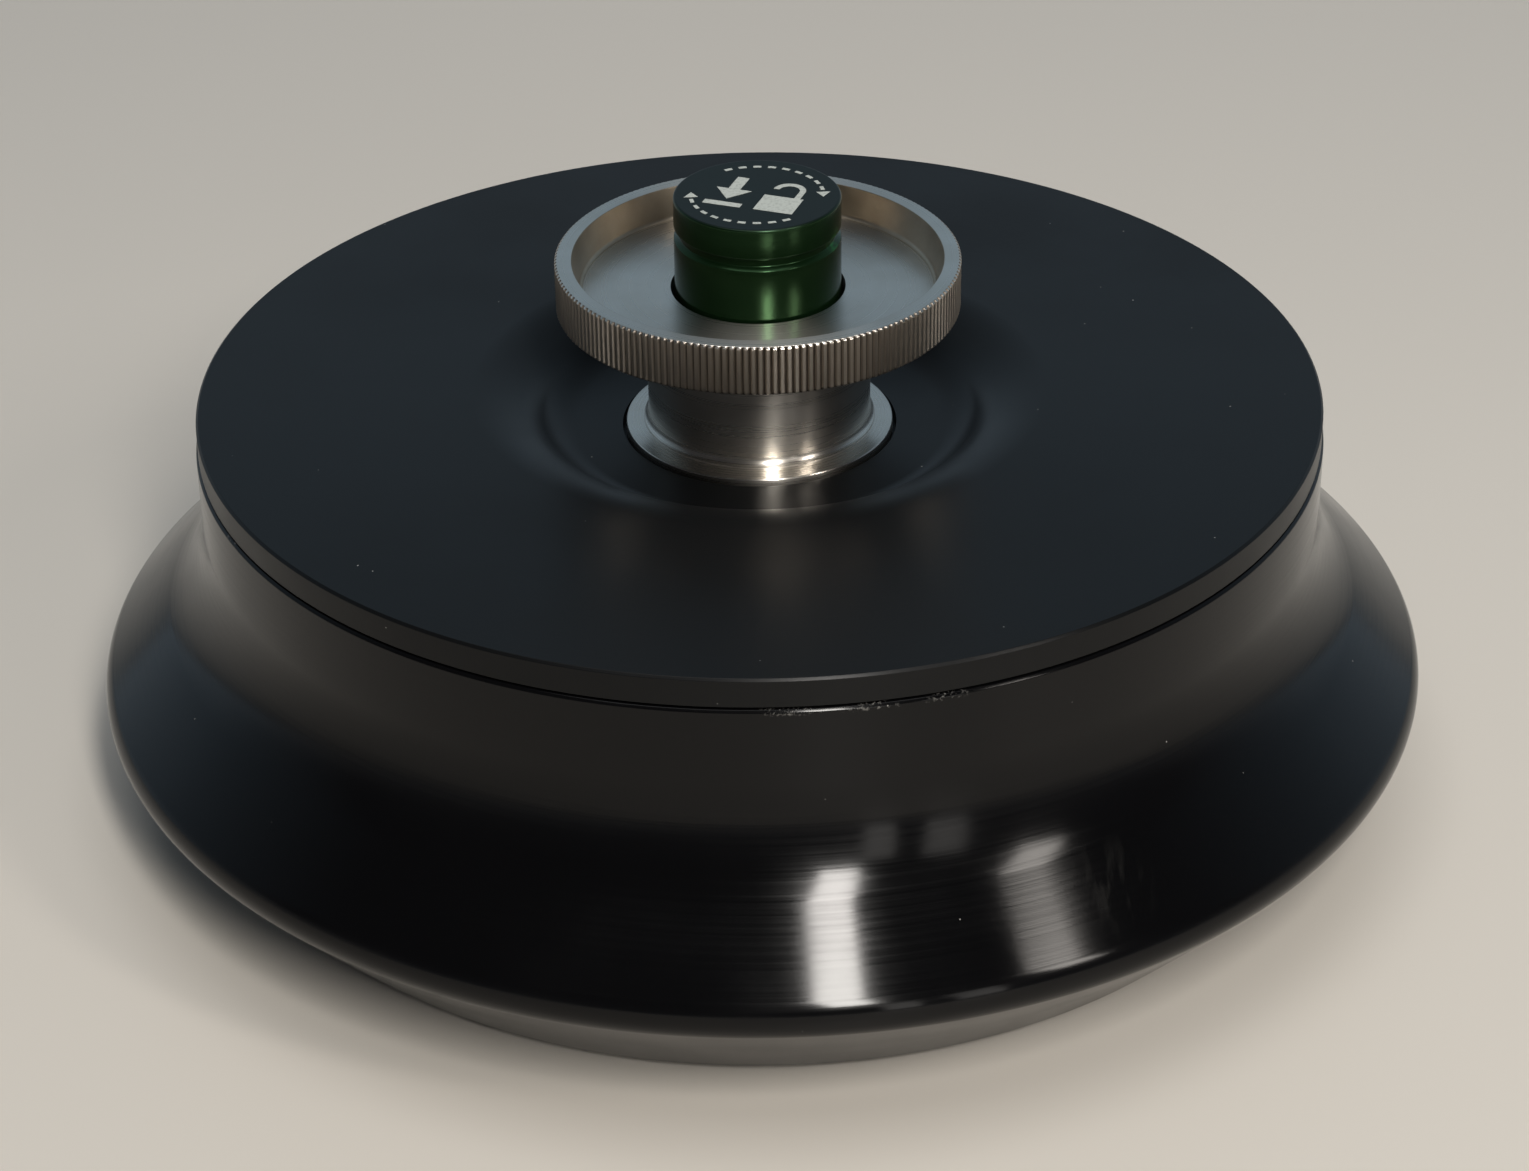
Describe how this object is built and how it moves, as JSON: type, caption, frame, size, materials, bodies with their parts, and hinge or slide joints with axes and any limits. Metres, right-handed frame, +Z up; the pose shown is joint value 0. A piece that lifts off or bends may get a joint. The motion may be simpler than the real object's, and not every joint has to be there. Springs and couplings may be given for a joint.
{
  "type": "fixed angle rotor",
  "caption": "Round fixed angle rotor with a flared rim, slanting microtube bores in a bowl, a lid held by a knurled knob, and a release button on top.",
  "frame": {"origin": "on the rotor's axis, in the plane of the foot ring it stands on", "axes": "+Z up along the rotor's axis, towards the button; +X through the middle of a tube bore"},
  "size_m": [0.224, 0.224, 0.1059],
  "materials": {
    "body_black": "hard anodised, turned, glossy",
    "lid_black": "anodised, satin",
    "stainless": "turned, satin",
    "hard_steel": "ground",
    "spring_steel": "drawn wire and blued strip",
    "button_green": "anodised, glossy sides and satin top",
    "seal_rubber": "matte",
    "bush_bronze": "turned",
    "slide_plastic": "smooth",
    "magnet_nickel": "nickel plated"
  },
  "bodies": {
    "rotor": {"rotor_body": "body_black", "hub": "stainless", "lock_sleeve": "hard_steel", "hub_screws": "stainless", "hub_seal": "seal_rubber", "drive_pins": "hard_steel", "rotor_id_magnets": "magnet_nickel", "plunger_bush": "bush_bronze", "plunger_seal": "seal_rubber", "spring_seat": "stainless", "return_spring": "spring_steel"},
    "lid_assembly": {"lid": "lid_black", "lid_seal": "seal_rubber", "knob_seal": "seal_rubber", "thrust_washer": "slide_plastic"},
    "knob_assembly": {"knob": "stainless", "knob_clip": "spring_steel"},
    "push_button": {"button": "button_green", "plunger": "hard_steel", "plunger_clip": "spring_steel"}
  },
  "joints": [
    {"name": "lid_lift", "type": "slide", "parent": "rotor", "child": "lid_assembly", "axis": [0, 0, 1], "range_m": [0, 0.12]},
    {"name": "knob_turn", "type": "hinge", "parent": "lid_assembly", "child": "knob_assembly", "pos_m": [0, 0, 0.08], "axis": [0, 0, 1], "range_deg": [0, 1350]},
    {"name": "button_press", "type": "slide", "parent": "rotor", "child": "push_button", "axis": [0, 0, -1], "range_m": [0, 0.005], "stiffness_N_per_m": 2000, "springref_m": -0.004, "deforming": ["return_spring"]}
  ]
}
